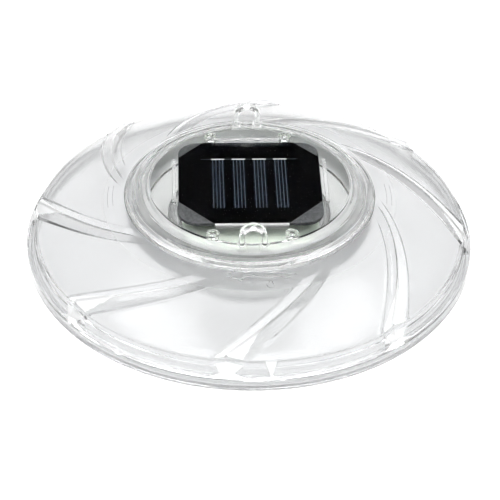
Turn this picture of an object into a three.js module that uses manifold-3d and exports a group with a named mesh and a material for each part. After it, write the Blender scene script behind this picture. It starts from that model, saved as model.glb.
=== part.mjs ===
// Floating pool light: a clear disc-shaped float with a solar light module that twists into its hub.
// Millimetres, +Z up. The origin is the centre of the flat foot, and +Y points away from the arrow mark.
import * as THREE from 'three';
import * as BufferGeometryUtils from 'three/addons/utils/BufferGeometryUtils.js';
import Module from 'manifold-3d';

const wasm = await Module();
wasm.setup();

// ---------- driving dimensions ----------
const FLOAT_RADIUS = 90;
const FLANGE_TOP = 14;
const DOME_EDGE_RADIUS = 86.3;
const DOME_EDGE_Z = 20.3;
const DOME_HUB_RADIUS = 50.6;
const DOME_HUB_Z = 34.9;
const DOME_BULGE = 1.2;
const SHELL_WALL = 1.7;

const VANE_COUNT = 8;
const VANE_PITCH = 2 * Math.PI / VANE_COUNT;
const VANE_RIM_ANGLE = THREE.MathUtils.degToRad(262.5);
const VANE_SWEEP = THREE.MathUtils.degToRad(43.5);
const VANE_HEIGHT_RIM = 1.8;
const VANE_HEIGHT_HUB = 0.6;

const COLLAR_RADIUS = 47.1;
const COLLAR_BOTTOM = 31.6;
const CHIMNEY_RADIUS = 47.3;
const WELL_RADIUS = 30.4;
const SHOULDER_TOP = 24.8;
const FOOT_INNER = 36;
const FOOT_OUTER = 46;

const WINDOW_TOP = 40;
const WINDOW_BOTTOM = 38.8;
const WINDOW_RADIUS = 40.6;
const HUB_RADIUS = 46.7;
const PUCK_RADIUS = 45;
const SKIRT_INNER = 43.3;
const SKIRT_BOTTOM = 32.4;
const CUP_RADIUS = 28.6;
const CUP_WALL = 1.8;
const CUP_BOTTOM = 1.2;
const PUCK_BOTTOM = 25.3;

const LOOP_OFFSET = 41.3;
const LOOP_WIDTH = 10.9;
const LOOP_OPENING = 6.6;
const LOOP_DEPTH = 4;
const LOOP_TOP = 49.8;
const LOOP_FOOT = 38;

const BOSS_X = 15.3;
const BOSS_Y = 33;
const BOSS_RADIUS = 2.4;
const SCREW_BORE = 1.4;

const RIB_LENGTH = 29;
const RIB_OFFSET_X = 30.3;
const RIB_OFFSET_Y = 29.4;

const PANEL_WIDTH = 57.2;
const PANEL_DEPTH = 54.9;
const PANEL_CENTRE_Y = 1.4;
const PANEL_CORNER = 8;
const PANEL_TOP = 38.38;
const PANEL_THICKNESS = 1.5;
const SHEET_THICKNESS = 0.15;
const CELL_THICKNESS = 0.12;
const RIBBON_THICKNESS = 0.08;
const FILM_GAP = 0.02;
const CELL_COUNT = 4;
const CELL_PITCH = 8.4;
const CELL_WIDTH = 5.4;
const CELL_LENGTH = 33.6;
const CELL_BACK = 17.2;

const BOARD_BOTTOM = 30;
const BOARD_THICKNESS = 1.6;

const BATTERY_Z = 22.9;
const BATTERY_LENGTH = 44.2;
const BATTERY_RADIUS = 5.1;
const HOLDER_LENGTH = 50.6;

const LUG_COUNT = 3;
const LUG_BOTTOM = 26.6;
const LUG_TOP = 28.8;
const LUG_HALF_ANGLE = THREE.MathUtils.degToRad(10);
const LEDGE_BOTTOM = 29.2;
const LEDGE_TOP = 31;
const LEDGE_HALF_ANGLE = THREE.MathUtils.degToRad(18);
const STOP_BOTTOM = 26;
const TWIST_ANGLE = THREE.MathUtils.degToRad(30);

const FIT_GAP = 0.3;
const FINE = 48;
const MEDIUM = 24;
const SMALL = 12;

// ---------- materials ----------
function plastic(color, roughness) {
  return new THREE.MeshStandardMaterial({ color, roughness, metalness: 0 });
}

function metal(color, roughness) {
  return new THREE.MeshStandardMaterial({ color, roughness, metalness: 1 });
}

const clearPlastic = plastic(0xe6eaec, 0.06);
const whitePlastic = plastic(0xe9e9e4, 0.4);
const sealRubber = plastic(0xd8dbd9, 0.7);
const panelBoard = plastic(0x4a4d50, 0.6);
const panelBlack = plastic(0x050507, 0.2);
const cellSilicon = plastic(0x10182c, 0.25);
const boardGreen = plastic(0x4f8f62, 0.45);
const ledEpoxy = plastic(0xf4f4f0, 0.1);
const componentBlack = plastic(0x17181a, 0.5);
const cellSleeve = plastic(0x2f7f4c, 0.35);
const silverMetal = metal(0xc9ccd0, 0.3);
const wireRed = plastic(0xb02018, 0.45);
const wireBlack = plastic(0x161616, 0.45);

// ---------- geometry helpers ----------
function signedVolume(geometry) {
  const position = geometry.getAttribute('position');
  const index = geometry.getIndex();
  const corner = [new THREE.Vector3(), new THREE.Vector3(), new THREE.Vector3()];
  let volume = 0;
  for (let i = 0; i < index.count; i += 3) {
    corner.forEach((point, k) => point.fromBufferAttribute(position, index.getX(i + k)));
    volume += corner[0].dot(corner[1].clone().cross(corner[2])) / 6;
  }
  return volume;
}

// One closed body: shared vertices merged, and faces turned to point out.
function closed(geometry) {
  geometry.deleteAttribute('normal');
  geometry.deleteAttribute('uv');
  const merged = BufferGeometryUtils.mergeVertices(geometry, 1e-4);
  if (signedVolume(merged) < 0) {
    merged.getIndex().array.reverse();
  }
  return merged;
}

// A solid of revolution about Z from an outline of [radius, height] points.
function turned(outline, segments) {
  const points = outline.map(([radius, height]) => new THREE.Vector2(radius, height));
  const geometry = new THREE.LatheGeometry(points, segments);
  geometry.rotateX(Math.PI / 2);
  return closed(geometry);
}

// The same outline, closed on itself, for a ring that doesn't reach the axis.
function turnedRing(outline, segments) {
  return turned([...outline, outline[0]], segments);
}

function box(width, depth, height) {
  return closed(new THREE.BoxGeometry(width, depth, height));
}

function upright(radius, bottom, top, segments) {
  return turned([[0, bottom], [radius, bottom], [radius, top], [0, top]], segments);
}

function extruded(shape, bottom, top, curveSegments = 6) {
  const options = { depth: top - bottom, bevelEnabled: false, curveSegments };
  const geometry = new THREE.ExtrudeGeometry(shape, options);
  geometry.translate(0, 0, bottom);
  return closed(geometry);
}

function polygonShape(points) {
  return new THREE.Shape(points.map(([x, y]) => new THREE.Vector2(x, y)));
}

function roundedRectangle(width, depth, radius) {
  const shape = new THREE.Shape();
  const x = width / 2 - radius;
  const y = depth / 2 - radius;
  shape.absarc(x, y, radius, 0, Math.PI / 2);
  shape.absarc(-x, y, radius, Math.PI / 2, Math.PI);
  shape.absarc(-x, -y, radius, Math.PI, 1.5 * Math.PI);
  shape.absarc(x, -y, radius, 1.5 * Math.PI, 2 * Math.PI);
  return shape;
}

// A block that is a slice of a ring, centred on an angle.
function ringSlice(inner, outer, bottom, top, centre, halfAngle) {
  const shape = new THREE.Shape();
  shape.absarc(0, 0, outer, centre - halfAngle, centre + halfAngle, false);
  shape.absarc(0, 0, inner, centre + halfAngle, centre - halfAngle, true);
  return extruded(shape, bottom, top, 5);
}

function tube(points, radius, steps) {
  const section = new THREE.Shape();
  section.absarc(0, 0, radius, 0, 2 * Math.PI);
  const path = new THREE.CatmullRomCurve3(points.map((point) => new THREE.Vector3(...point)));
  const options = { steps, extrudePath: path, bevelEnabled: false, curveSegments: 4 };
  return closed(new THREE.ExtrudeGeometry(section, options));
}

function toManifold(geometry) {
  const vertProperties = new Float32Array(geometry.getAttribute('position').array);
  const triVerts = new Uint32Array(geometry.getIndex().array);
  return new wasm.Manifold(new wasm.Mesh({ numProp: 3, vertProperties, triVerts }));
}

function fromManifold(manifold) {
  const mesh = manifold.getMesh();
  const geometry = new THREE.BufferGeometry();
  geometry.setAttribute('position', new THREE.BufferAttribute(mesh.vertProperties, 3));
  geometry.setIndex(new THREE.BufferAttribute(mesh.triVerts, 1));
  return geometry;
}

function combine(base, added, removed) {
  let result = toManifold(base);
  for (const geometry of added) {
    result = result.add(toManifold(geometry));
  }
  for (const geometry of removed) {
    result = result.subtract(toManifold(geometry));
  }
  return fromManifold(result);
}

function moved(geometry, x, y, z = 0) {
  geometry.translate(x, y, z);
  return geometry;
}

const part = new THREE.Group();

function place(name, geometry, material, x = 0, y = 0, z = 0) {
  const mesh = new THREE.Mesh(geometry, material);
  mesh.name = name;
  mesh.position.set(x, y, z);
  part.add(mesh);
}

// ---------- float shells ----------
function domeHeight(radius) {
  const climb = (DOME_EDGE_RADIUS - radius) / (DOME_EDGE_RADIUS - DOME_HUB_RADIUS);
  const straight = DOME_EDGE_Z + (DOME_HUB_Z - DOME_EDGE_Z) * climb;
  return straight + 4 * DOME_BULGE * climb * (1 - climb);
}

// Relief across one vane pitch, counted from the crest: a low ridge, then plain dome up to the next one.
const VANE_SECTION = [[-0.12, 0], [0, 1], [0.125, 0], [0.32, 0], [0.51, 0], [0.7, 0]];

// The vanes curl more and more as they climb from the rim to the hub.
function sweepAngle(climb) {
  return VANE_RIM_ANGLE + VANE_SWEEP * (0.65 * climb + 0.35 * climb * climb);
}

function upperShellStations() {
  const stations = [];
  const add = (radius, height, relief = 0, turn = 0) => {
    stations.push({ radius, height, relief, turn });
  };
  add(COLLAR_RADIUS, COLLAR_BOTTOM, 0, 1);
  add(COLLAR_RADIUS, 36.2, 0, 1);
  add(COLLAR_RADIUS + 0.5, 36.7, 0, 1);
  add(49, 36.5, 0, 1);
  add(49.9, 35.7, 0, 1);
  const bands = 6;
  for (let i = 0; i <= bands; i += 1) {
    const climb = 1 - i / bands;
    const radius = DOME_EDGE_RADIUS + (DOME_HUB_RADIUS - DOME_EDGE_RADIUS) * climb;
    const rise = Math.min(1, (1 - climb) / 0.1);
    const relief = (VANE_HEIGHT_RIM + (VANE_HEIGHT_HUB - VANE_HEIGHT_RIM) * climb) * rise;
    add(radius, domeHeight(radius), relief, climb);
  }
  const channelWall = 86.7;
  add(channelWall, DOME_EDGE_Z - 0.8);
  add(channelWall, FLANGE_TOP + 3.7);
  add(channelWall + 0.4, FLANGE_TOP + 3.3);
  add(channelWall + 0.4, FLANGE_TOP - 0.1);
  add(88, FLANGE_TOP - 0.1);
  add(88.3, FLANGE_TOP + 0.3);
  add(89.5, FLANGE_TOP + 0.3);
  add(FLOAT_RADIUS, FLANGE_TOP - 0.2);
  add(FLOAT_RADIUS, 9.4);
  add(89.6, 9);
  add(88.3, 9);
  add(88.3, 12.4);
  add(85.3, 12.4);
  add(85, DOME_EDGE_Z - SHELL_WALL);
  const innerBands = 2;
  for (let i = 1; i <= innerBands; i += 1) {
    const climb = i / innerBands;
    const radius = DOME_EDGE_RADIUS + (DOME_HUB_RADIUS - DOME_EDGE_RADIUS) * climb;
    add(radius - 1, domeHeight(radius) - SHELL_WALL, 0, climb);
  }
  add(49, COLLAR_BOTTOM + 1.2, 0, 1);
  add(49, COLLAR_BOTTOM, 0, 1);
  return stations;
}

// Every station is one ring of vertices, turned along the sweep so that the vane edges follow it.
function upperShell() {
  const stations = upperShellStations();
  const perRing = VANE_COUNT * VANE_SECTION.length;
  const vertices = [];
  for (const station of stations) {
    for (let vane = 0; vane < VANE_COUNT; vane += 1) {
      for (const [across, height] of VANE_SECTION) {
        const angle = sweepAngle(station.turn) + (vane + across) * VANE_PITCH;
        const x = station.radius * Math.cos(angle);
        const y = station.radius * Math.sin(angle);
        vertices.push(x, y, station.height + station.relief * height);
      }
    }
  }
  const triangles = [];
  for (let s = 0; s < stations.length; s += 1) {
    const next = (s + 1) % stations.length;
    for (let i = 0; i < perRing; i += 1) {
      const j = (i + 1) % perRing;
      const corners = [s * perRing + i, s * perRing + j, next * perRing + j, next * perRing + i];
      triangles.push(corners[0], corners[1], corners[2], corners[0], corners[2], corners[3]);
    }
  }
  const geometry = new THREE.BufferGeometry();
  geometry.setAttribute('position', new THREE.Float32BufferAttribute(vertices, 3));
  geometry.setIndex(triangles);
  return closed(geometry);
}

function lugAngle(index) {
  return Math.PI / 2 + index * 2 * Math.PI / LUG_COUNT;
}

// Ledges that hold the module's lugs down, with a stop at each end of the twist.
function bayonetBlocks() {
  const inner = PUCK_RADIUS + 0.5;
  const outer = CHIMNEY_RADIUS + 0.6;
  const stop = THREE.MathUtils.degToRad(3);
  const clearance = THREE.MathUtils.degToRad(1);
  const blocks = [];
  for (let i = 0; i < LUG_COUNT; i += 1) {
    const centre = lugAngle(i);
    const locked = centre + LUG_HALF_ANGLE + clearance + stop;
    const released = centre - TWIST_ANGLE - LUG_HALF_ANGLE - clearance - stop;
    blocks.push(ringSlice(inner, outer, LEDGE_BOTTOM, LEDGE_TOP, centre, LEDGE_HALF_ANGLE));
    blocks.push(ringSlice(inner, outer, STOP_BOTTOM, LEDGE_BOTTOM + 0.2, locked, stop));
    blocks.push(ringSlice(inner, outer, STOP_BOTTOM, LEDGE_BOTTOM + 0.2, released, stop));
  }
  return blocks;
}

function lowerShell() {
  const outline = [
    [88, 12.1], [88, 8.7], [89.6, 8.7], [89.4, 8.1], [87.6, 7.6], [76, 3.6], [60, 1.1], [FOOT_OUTER, 0],
    [FOOT_INNER, 0], [33, 0.4], [WELL_RADIUS, 2.4], [WELL_RADIUS, SHOULDER_TOP], [CHIMNEY_RADIUS, SHOULDER_TOP],
    [CHIMNEY_RADIUS, COLLAR_BOTTOM - FIT_GAP], [49, COLLAR_BOTTOM - FIT_GAP], [49, SHOULDER_TOP - SHELL_WALL],
    [WELL_RADIUS + SHELL_WALL, SHOULDER_TOP - SHELL_WALL], [WELL_RADIUS + SHELL_WALL, 3],
    [FOOT_INNER, SHELL_WALL], [FOOT_OUTER, SHELL_WALL], [60, 2.8], [76, 5.4], [86.4, 9], [86.4, 12.1],
  ];
  return combine(turnedRing(outline, FINE), bayonetBlocks(), []);
}

// ---------- light module ----------
// A loop standing on the shoulder of the cover, for a tether or for gripping when twisting.
function tetherLoop(side) {
  const half = LOOP_WIDTH / 2;
  const inside = LOOP_OPENING / 2;
  const flare = 1.6;
  const springLine = LOOP_TOP - half;
  const shape = new THREE.Shape();
  shape.moveTo(-half - flare, LOOP_FOOT);
  shape.quadraticCurveTo(-half, LOOP_FOOT + 0.8, -half + 0.2, LOOP_FOOT + 3.4);
  shape.lineTo(-half, springLine);
  shape.absarc(0, springLine, half, Math.PI, 0, true);
  shape.lineTo(half - 0.2, LOOP_FOOT + 3.4);
  shape.quadraticCurveTo(half, LOOP_FOOT + 0.8, half + flare, LOOP_FOOT);
  shape.lineTo(inside, LOOP_FOOT);
  shape.lineTo(inside, springLine);
  shape.absarc(0, springLine, inside, 0, Math.PI, false);
  shape.lineTo(-inside, LOOP_FOOT);
  const geometry = extruded(shape, -LOOP_DEPTH / 2, LOOP_DEPTH / 2, 8);
  geometry.rotateX(Math.PI / 2);
  return moved(geometry, 0, side * LOOP_OFFSET);
}

function bossPlaces() {
  return [[-BOSS_X, -BOSS_Y], [BOSS_X, -BOSS_Y], [-BOSS_X, BOSS_Y], [BOSS_X, BOSS_Y]];
}

// Four low ribs on top of the window, one along each side of the panel.
function locatingRibs() {
  const width = 1.5;
  const height = 1;
  const sink = 0.2;
  const middle = WINDOW_TOP + (height - sink) / 2;
  const ribs = [];
  for (const side of [-1, 1]) {
    ribs.push(moved(box(RIB_LENGTH, width, height + sink), 0, side * RIB_OFFSET_Y, middle));
    ribs.push(moved(box(width, RIB_LENGTH, height + sink), side * RIB_OFFSET_X, 0, middle));
  }
  return ribs;
}

function moduleCover() {
  const outline = [
    [0, WINDOW_TOP], [WINDOW_RADIUS, WINDOW_TOP], [41.1, 39.5], [41.3, 39], [44.2, 38.3], [45.6, 37.6],
    [46.4, 36.8], [HUB_RADIUS, 36], [HUB_RADIUS, 35.2], [PUCK_RADIUS, 35.2], [PUCK_RADIUS, SKIRT_BOTTOM],
    [SKIRT_INNER, SKIRT_BOTTOM], [SKIRT_INNER, 36.6], [41.6, 37.2], [40, WINDOW_BOTTOM], [0, WINDOW_BOTTOM],
  ];
  const bossBottom = BOARD_BOTTOM + BOARD_THICKNESS + FIT_GAP;
  const bosses = [];
  const bores = [];
  for (const [x, y] of bossPlaces()) {
    bosses.push(moved(upright(BOSS_RADIUS, bossBottom, WINDOW_BOTTOM + 0.2, SMALL), x, y));
    bores.push(moved(upright(SCREW_BORE, bossBottom - 1, 37.6, SMALL), x, y));
  }
  const added = [tetherLoop(-1), tetherLoop(1), ...locatingRibs(), ...bosses];
  return combine(turned(outline, FINE), added, bores);
}

function moduleBase() {
  const inside = CUP_RADIUS - CUP_WALL;
  const tongue = SKIRT_INNER - FIT_GAP;
  const tongueInner = tongue - 1.6;
  const floorTop = CUP_BOTTOM + CUP_WALL;
  const outline = [
    [0, CUP_BOTTOM], [CUP_RADIUS - 1, CUP_BOTTOM], [CUP_RADIUS, CUP_BOTTOM + 1], [CUP_RADIUS, PUCK_BOTTOM],
    [PUCK_RADIUS, PUCK_BOTTOM], [PUCK_RADIUS, 30.6], [tongue, 30.6], [tongue, 36.2], [tongueInner, 36.2],
    [tongueInner, PUCK_BOTTOM + CUP_WALL], [inside, PUCK_BOTTOM + CUP_WALL], [inside, floorTop], [0, floorTop],
  ];
  const lugs = [];
  for (let i = 0; i < LUG_COUNT; i += 1) {
    const outer = CHIMNEY_RADIUS - 0.4;
    lugs.push(ringSlice(PUCK_RADIUS - 1, outer, LUG_BOTTOM, LUG_TOP, lugAngle(i), LUG_HALF_ANGLE));
  }
  const buttonHole = upright(5, CUP_BOTTOM - 1, floorTop + 1, MEDIUM);
  return combine(turned(outline, FINE), lugs, [buttonHole]);
}

// A rubber ring of round section.
function sealRing(radius, height, thickness) {
  const sides = 6;
  const outline = [];
  for (let i = 0; i < sides; i += 1) {
    const angle = 2 * Math.PI * i / sides;
    outline.push([radius + thickness / 2 * Math.cos(angle), height + thickness / 2 * Math.sin(angle)]);
  }
  return turnedRing(outline, FINE);
}

// ---------- solar panel ----------
// The black face sheet leaves the four corners of the board bare, the front pair more than the back pair.
function panelMask() {
  const x = PANEL_WIDTH / 2 - 0.2;
  const y = PANEL_DEPTH / 2 - 0.2;
  const backX = x - 9.8;
  const backY = y - 10.4;
  const frontX = x - 13.4;
  const frontY = y - 14;
  return polygonShape([
    [-backX, y], [-x, backY], [-x, -frontY], [-frontX, -y],
    [frontX, -y], [x, -frontY], [x, backY], [backX, y],
  ]);
}

// Board, face sheet, cells and ribbon are stacked from the bottom up, close under the window.
function solarPanel() {
  const board = extruded(roundedRectangle(PANEL_WIDTH, PANEL_DEPTH, PANEL_CORNER), 0, PANEL_THICKNESS);
  place('panel_board', board, panelBoard, 0, PANEL_CENTRE_Y, PANEL_TOP - PANEL_THICKNESS);
  const sheetBottom = PANEL_TOP + FILM_GAP;
  const sheet = extruded(panelMask(), 0, SHEET_THICKNESS);
  place('panel_face_sheet', sheet, panelBlack, 0, PANEL_CENTRE_Y, sheetBottom);
  const cellBottom = sheetBottom + SHEET_THICKNESS + FILM_GAP;
  const cellMiddle = cellBottom + CELL_THICKNESS / 2;
  for (let i = 0; i < CELL_COUNT; i += 1) {
    const x = (i - (CELL_COUNT - 1) / 2) * CELL_PITCH;
    const cell = box(CELL_WIDTH, CELL_LENGTH, CELL_THICKNESS);
    place(`solar_cell_${i + 1}`, cell, cellSilicon, x, CELL_BACK - CELL_LENGTH / 2, cellMiddle);
  }
  const ribbonMiddle = cellBottom + CELL_THICKNESS + FILM_GAP + RIBBON_THICKNESS / 2;
  place('cell_bus_ribbon', box(39, 0.8, RIBBON_THICKNESS), silverMetal, 0, CELL_BACK - 0.6, ribbonMiddle);
}

// ---------- circuit board ----------
function circuitBoard() {
  const outline = polygonShape([
    [-27, -27], [-18, -36.5], [18, -36.5], [27, -27], [27, 27], [18, 36.5], [-18, 36.5], [-27, 27],
  ]);
  const holes = bossPlaces().map(([x, y]) => {
    return moved(upright(SCREW_BORE, BOARD_BOTTOM - 1, BOARD_BOTTOM + BOARD_THICKNESS + 1, SMALL), x, y);
  });
  const board = extruded(outline, BOARD_BOTTOM, BOARD_BOTTOM + BOARD_THICKNESS);
  place('circuit_board', combine(board, [], holes), boardGreen);
}

function boardScrews() {
  const headTop = BOARD_BOTTOM - FIT_GAP;
  bossPlaces().forEach(([x, y], index) => {
    const outline = [
      [0, headTop - 1.4], [1.6, headTop - 1.4], [2.3, headTop - 0.7], [2.3, headTop], [1.1, headTop],
      [1.1, 36.4], [0.6, 37.2], [0, 37.2],
    ];
    place(`board_screw_${index + 1}`, turned(outline, SMALL), silverMetal, x, y);
  });
}

function leds() {
  const flangeTop = BOARD_BOTTOM - FIT_GAP;
  const outline = [
    [0, flangeTop], [2.9, flangeTop], [2.9, flangeTop - 1], [2.5, flangeTop - 1],
    [2.5, flangeTop - 6.1], [2.1, flangeTop - 7.6], [1.2, flangeTop - 8.4], [0, flangeTop - 8.6],
  ];
  [[-12, -15], [12, -15], [-12, 15], [12, 15]].forEach(([x, y], index) => {
    place(`led_${index + 1}`, turned(outline, SMALL), ledEpoxy, x, y);
  });
}

function boardComponents() {
  const under = BOARD_BOTTOM - FIT_GAP;
  place('controller_chip', box(5, 4, 1.6), componentBlack, 0, -16, under - 0.8);
  const bobbin = [[0, 0], [3, 0], [3, -0.8], [2.2, -1], [2.2, -3], [3, -3.2], [3, -4], [0, -4]];
  place('inductor', turned(bobbin, SMALL), componentBlack, 0, 16, under);
  place('resistor', box(6.4, 2.4, 2.2), whitePlastic, 20, -10, under - 1.1);
  const can = [[0, 0], [2.5, 0], [2.5, -4.6], [2.1, -5], [0, -5]];
  place('storage_capacitor', turned(can, SMALL), componentBlack, -20.5, -10.5, under);
}

// ---------- battery ----------
function alongX(geometry) {
  geometry.rotateY(Math.PI / 2);
  return geometry;
}

function battery() {
  const half = BATTERY_LENGTH / 2;
  const shell = [[0, -half], [BATTERY_RADIUS - 0.4, -half], [BATTERY_RADIUS, -half + 0.5],
    [BATTERY_RADIUS, half - 1.5], [BATTERY_RADIUS - 0.5, half - 1], [1.9, half - 1], [1.9, half], [0, half]];
  place('battery_cell', alongX(turned(shell, MEDIUM)), cellSleeve, 0.6, 0, BATTERY_Z);

  const wall = 1.2;
  const width = 2 * (BATTERY_RADIUS + FIT_GAP + wall);
  const holderTop = BOARD_BOTTOM - FIT_GAP;
  const height = holderTop - BATTERY_Z + 1.5;
  const block = moved(box(HOLDER_LENGTH, width, height), 0, 0, holderTop - height / 2);
  const innerHeight = height - wall + 1;
  const pocket = box(HOLDER_LENGTH - 2 * wall, width - 2 * wall, innerHeight);
  moved(pocket, 0, 0, holderTop - wall - innerHeight / 2);
  place('battery_holder', combine(block, [], [pocket]), componentBlack);

  place('battery_plate', box(0.5, 8, 6.6), silverMetal, 23.8, 0, BATTERY_Z + 0.4);

  const turns = 2.5;
  const steps = 25;
  const helix = [];
  for (let i = 0; i <= steps; i += 1) {
    const along = i / steps;
    const angle = 2 * Math.PI * turns * along;
    const radius = 3.4 - 1.4 * along;
    helix.push([-23.6 + 1.5 * along, radius * Math.cos(angle), BATTERY_Z + radius * Math.sin(angle)]);
  }
  place('battery_spring', tube(helix, 0.2, steps), silverMetal);
}

// ---------- switch ----------
function powerSwitch() {
  const button = [
    [0, 0.6], [4.2, 0.6], [4.6, 1], [4.6, 4.2], [6.2, 4.2], [6.2, 5], [1.2, 5], [1.2, 7.2], [0, 7.2],
  ];
  place('switch_button', turned(button, MEDIUM), sealRubber);
  place('button_gasket', turnedRing([[4.9, 3.1], [6.8, 3.1], [6.8, 3.9], [4.9, 3.9]], MEDIUM), sealRubber);

  const body = moved(box(7, 7, 3.8), 0, 0, 8.1);
  place('switch_body', combine(body, [], [upright(1.9, 5, 8.8, MEDIUM)]), componentBlack);

  const bridge = polygonShape([[-10, 3.3], [-8.8, 3.3], [-8.8, 10.3], [8.8, 10.3], [8.8, 3.3], [10, 3.3],
    [10, 11.5], [-10, 11.5]]);
  const bracket = extruded(bridge, -3.5, 3.5);
  bracket.rotateX(Math.PI / 2);
  place('switch_bracket', closed(bracket), whitePlastic);
}

// Each wire leaves and meets its joint square on, with solder clearance at both ends.
function wires() {
  const radius = 0.6;
  const clearance = 0.5;
  const panelBottom = PANEL_TOP - PANEL_THICKNESS - clearance;
  const boardTop = BOARD_BOTTOM + BOARD_THICKNESS + clearance;
  const boardUnder = BOARD_BOTTOM - clearance;
  for (const [side, name, material] of [[-1, 'minus', wireBlack], [1, 'plus', wireRed]]) {
    const x = 6 * side;
    const panelRoute = [[x, 18, panelBottom], [x, 18, panelBottom - 0.8], [x + side, 20, 34],
      [x, 22, boardTop + 0.8], [x, 22, boardTop]];
    place(`panel_wire_${name}`, tube(panelRoute, radius, 12), material);
    const near = 2 * side;
    const far = 4 * side;
    const switchRoute = [[near, 0, 12], [near, 0, 13], [far, 9, 17], [far, 10.5, 24], [far, 10.5, boardUnder]];
    place(`switch_wire_${name}`, tube(switchRoute, radius, 14), material);
  }
}

place('upper_shell', upperShell(), clearPlastic);
place('lower_shell', lowerShell(), clearPlastic);
place('module_cover', moduleCover(), clearPlastic);
place('module_base', moduleBase(), clearPlastic);
place('hub_seal', sealRing(46.05, 34.3, 1.4), sealRubber);
place('module_seal', sealRing(44.1, 31.5, 1.2), sealRubber);
solarPanel();
circuitBoard();
boardScrews();
leds();
boardComponents();
battery();
powerSwitch();
wires();

export default part;
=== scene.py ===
"""Floating pool light: clear swirl-ribbed float with a solar light module twisted into its hub."""
import bmesh
import bpy
import math
from mathutils import Matrix, Vector


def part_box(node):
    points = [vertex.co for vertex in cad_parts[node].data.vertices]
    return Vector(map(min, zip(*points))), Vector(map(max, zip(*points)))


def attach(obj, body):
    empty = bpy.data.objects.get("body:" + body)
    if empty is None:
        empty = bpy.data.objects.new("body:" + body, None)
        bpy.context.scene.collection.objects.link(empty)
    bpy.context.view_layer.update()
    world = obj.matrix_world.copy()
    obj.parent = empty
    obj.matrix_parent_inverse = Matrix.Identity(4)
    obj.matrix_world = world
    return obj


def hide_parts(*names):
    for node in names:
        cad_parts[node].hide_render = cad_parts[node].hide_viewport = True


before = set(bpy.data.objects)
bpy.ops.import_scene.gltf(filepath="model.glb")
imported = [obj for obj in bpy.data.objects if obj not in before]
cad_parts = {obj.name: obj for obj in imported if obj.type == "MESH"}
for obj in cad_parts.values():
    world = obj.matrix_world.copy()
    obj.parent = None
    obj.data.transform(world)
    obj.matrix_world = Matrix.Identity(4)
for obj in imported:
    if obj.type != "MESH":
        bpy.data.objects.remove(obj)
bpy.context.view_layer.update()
MM = 0.001
scene = bpy.context.scene


# ---------- places and sizes, in millimetres and radians ----------
def low(node):
    return [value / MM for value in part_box(node)[0]]


def high(node):
    return [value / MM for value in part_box(node)[1]]


def ends(node):
    return low(node), high(node)


def centre_of(node):
    return [(a + b) / 2 for a, b in zip(low(node), high(node))]


# Float: the dome runs from its edge, at the channel, up to the hub's collar.
FLOAT_RADIUS = 90
FLANGE_TOP = 14
DOME_EDGE_RADIUS = 86.3
DOME_EDGE_Z = 20.3
DOME_HUB_RADIUS = 50.6
DOME_HUB_Z = 34.9
DOME_BULGE = 1.2
SHELL_WALL = 1.7
COLLAR_RADIUS = 47.1
COLLAR_BOTTOM = low("upper_shell")[2] + 22.6

# Roughness of the dome's lining within each radius. It grows in steps too small to show.
LINING_STEPS = ((74, 0.15), (70, 0.175), (67, 0.2), (64, 0.225), (61, 0.25), (58, 0.275), (55, 0.3))

# Vanes: feet are shares of one vane's pitch, left and right of its crest.
VANES = 8
VANE_PITCH = 2 * math.pi / VANES
VANE_RIM_ANGLE = math.radians(262.5)
VANE_SWEEP = math.radians(43.5)
LEFT_FOOT = 0.08
RIGHT_FOOT = 0.125
LEFT_END = 0.22
RIGHT_END = 1 - LEFT_END
FOOT_EDGE = 0.003
CREASE = 0.008
VANE_RIM_HEIGHT = 1.8
VANE_HUB_HEIGHT = 0.6
RAMP_FOOT_RADIUS = 89

# Light module: cap, ribs round the panel, tether loops, screws and bayonet lugs.
WINDOW_TOP = 40
WINDOW_BOTTOM = 38.8
HUB_RADIUS = high("module_cover")[0]
LOOP_TOP = high("module_cover")[2]
LOOP_WIDTH = 10.9
LOOP_BAR = 2.15
LOOP_OFFSET = 41.3
RIB_LENGTH = 29
RIB_WIDTH = 1.5
RIB_OFFSET_X = 30.3
RIB_OFFSET_Y = 29.4
BOARD_BOTTOM = low("circuit_board")[2]
BOARD_TOP = high("circuit_board")[2]
SCREW_BORE = 1.4
LUGS = 3
LUG_HALF = math.radians(10)
TWIST = math.radians(30)

# The photo's angle, in degrees.
VIEW_AZIMUTH = -2.4
VIEW_ELEVATION = 37.7

# Solar panel.
CELLS = 4
COLLECTORS = 4
COLLECTOR_WIDTH = 0.34
TAB_LENGTH = 5.4
TAB_WIDTH = 0.5


# ---------- camera, first ----------
def make_camera():
    """A long lens looking down on the disc, turned and rolled a little."""
    distance = 0.846
    elevation = math.radians(VIEW_ELEVATION)
    azimuth = math.radians(VIEW_AZIMUTH)
    roll = math.radians(1.0)
    lens_over_sensor = 4.16
    look_at = Vector((0, 0, FLANGE_TOP * MM))
    sideways = -0.0004
    upward = 0.0066
    forward = Vector((-math.sin(azimuth), math.cos(azimuth), 0)) * math.cos(elevation)
    forward.z = -math.sin(elevation)
    right = Vector((math.cos(azimuth), math.sin(azimuth), 0))
    up = right.cross(forward)
    rolled_right = right * math.cos(roll) + up * math.sin(roll)
    rolled_up = up * math.cos(roll) - right * math.sin(roll)
    place = look_at - rolled_right * sideways - rolled_up * upward - forward * distance
    data = bpy.data.cameras.new("camera")
    data.sensor_width = 36
    data.lens = 36 * lens_over_sensor
    data.clip_end = 50
    camera = bpy.data.objects.new("camera", data)
    turn = Matrix((rolled_right, rolled_up, -forward)).transposed().to_4x4()
    camera.matrix_world = Matrix.Translation(place) @ turn
    scene.collection.objects.link(camera)
    scene.camera = camera


# ---------- materials ----------
def new_material(name):
    material = bpy.data.materials.new(name)
    material.use_nodes = True
    tree = material.node_tree
    return material, tree, tree.nodes["Principled BSDF"]


def link(output, node, socket):
    node.id_data.links.new(output, node.inputs[socket])


def set_inputs(node, **inputs):
    for key, value in inputs.items():
        node.inputs[key.replace("_", " ")].default_value = value
    return node


def add_node(tree, kind, **inputs):
    return set_inputs(tree.nodes.new(kind), **inputs)


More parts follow.
